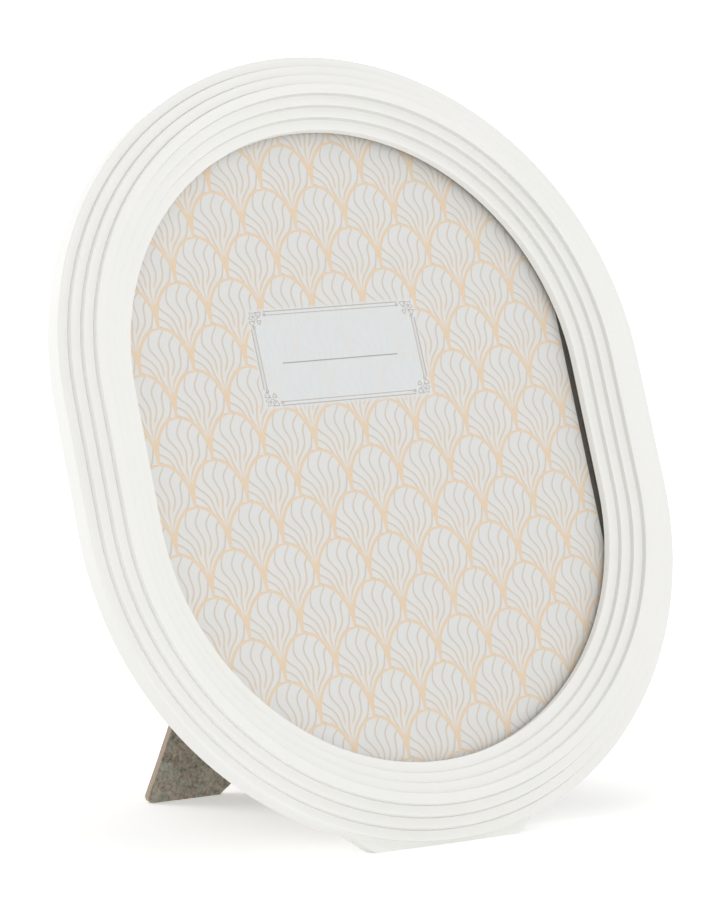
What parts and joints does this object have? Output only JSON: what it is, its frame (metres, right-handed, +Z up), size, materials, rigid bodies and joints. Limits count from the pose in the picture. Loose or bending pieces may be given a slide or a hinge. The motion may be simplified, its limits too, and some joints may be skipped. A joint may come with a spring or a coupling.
{
  "type": "oval picture frame",
  "caption": "Oval tabletop picture frame with a stepped white moulding, glass, print, flat foot, turn-button back and a folding easel leg.",
  "frame": {"origin": "middle of the foot's base, on the table under the front of the frame", "axes": "+Z up, +X to the viewer's right, +Y to the back, where the easel leg stands"},
  "size_m": [0.2528, 0.1229, 0.2839],
  "materials": {
    "painted_white": "satin paint",
    "clear_glass": "polished",
    "printed_paper": "matt print",
    "velour_board": "velour covered board",
    "bright_steel": "nickel plated",
    "satin_ribbon": "woven satin"
  },
  "bodies": {
    "frame": {"frame_moulding": "painted_white", "glass_pane": "clear_glass", "insert_print": "printed_paper", "backing_board": "velour_board", "button_screws": "bright_steel", "hinge_leaf_fixed": "bright_steel", "hinge_pin": "bright_steel", "hinge_rivets_fixed": "bright_steel", "stay_ribbon": "satin_ribbon", "stay_rivet_board": "bright_steel"},
    "leg": {"leg_board": "velour_board", "hinge_leaf_moving": "bright_steel", "hinge_rivets_moving": "bright_steel", "stay_rivet_leg": "bright_steel"},
    "turn_button_1": {"turn_button_1": "bright_steel"},
    "turn_button_2": {"turn_button_2": "bright_steel"},
    "turn_button_3": {"turn_button_3": "bright_steel"},
    "turn_button_4": {"turn_button_4": "bright_steel"},
    "turn_button_5": {"turn_button_5": "bright_steel"},
    "turn_button_6": {"turn_button_6": "bright_steel"}
  },
  "joints": [
    {"name": "leg_fold", "type": "hinge", "parent": "frame", "child": "leg", "pos_m": [0, 0.08778, 0.20882], "axis": [-1, 0, 0], "range_deg": [0, 28.5], "deforming": ["stay_ribbon"]},
    {"name": "turn_button_1_swivel", "type": "hinge", "parent": "frame", "child": "turn_button_1", "pos_m": [0.10176, 0.08294, 0.19937], "axis": [0, 0.9304, -0.3665], "continuous": true},
    {"name": "turn_button_2_swivel", "type": "hinge", "parent": "frame", "child": "turn_button_2", "pos_m": [-0.10176, 0.03569, 0.07942], "axis": [0, 0.9304, -0.3665], "continuous": true},
    {"name": "turn_button_3_swivel", "type": "hinge", "parent": "frame", "child": "turn_button_3", "pos_m": [0, 0.10857, 0.26444], "axis": [0, 0.9304, -0.3665], "continuous": true},
    {"name": "turn_button_4_swivel", "type": "hinge", "parent": "frame", "child": "turn_button_4", "pos_m": [0, 0.01006, 0.01435], "axis": [0, 0.9304, -0.3665], "continuous": true},
    {"name": "turn_button_5_swivel", "type": "hinge", "parent": "frame", "child": "turn_button_5", "pos_m": [-0.10176, 0.08294, 0.19937], "axis": [0, 0.9304, -0.3665], "continuous": true},
    {"name": "turn_button_6_swivel", "type": "hinge", "parent": "frame", "child": "turn_button_6", "pos_m": [0.10176, 0.03569, 0.07942], "axis": [0, 0.9304, -0.3665], "continuous": true}
  ]
}
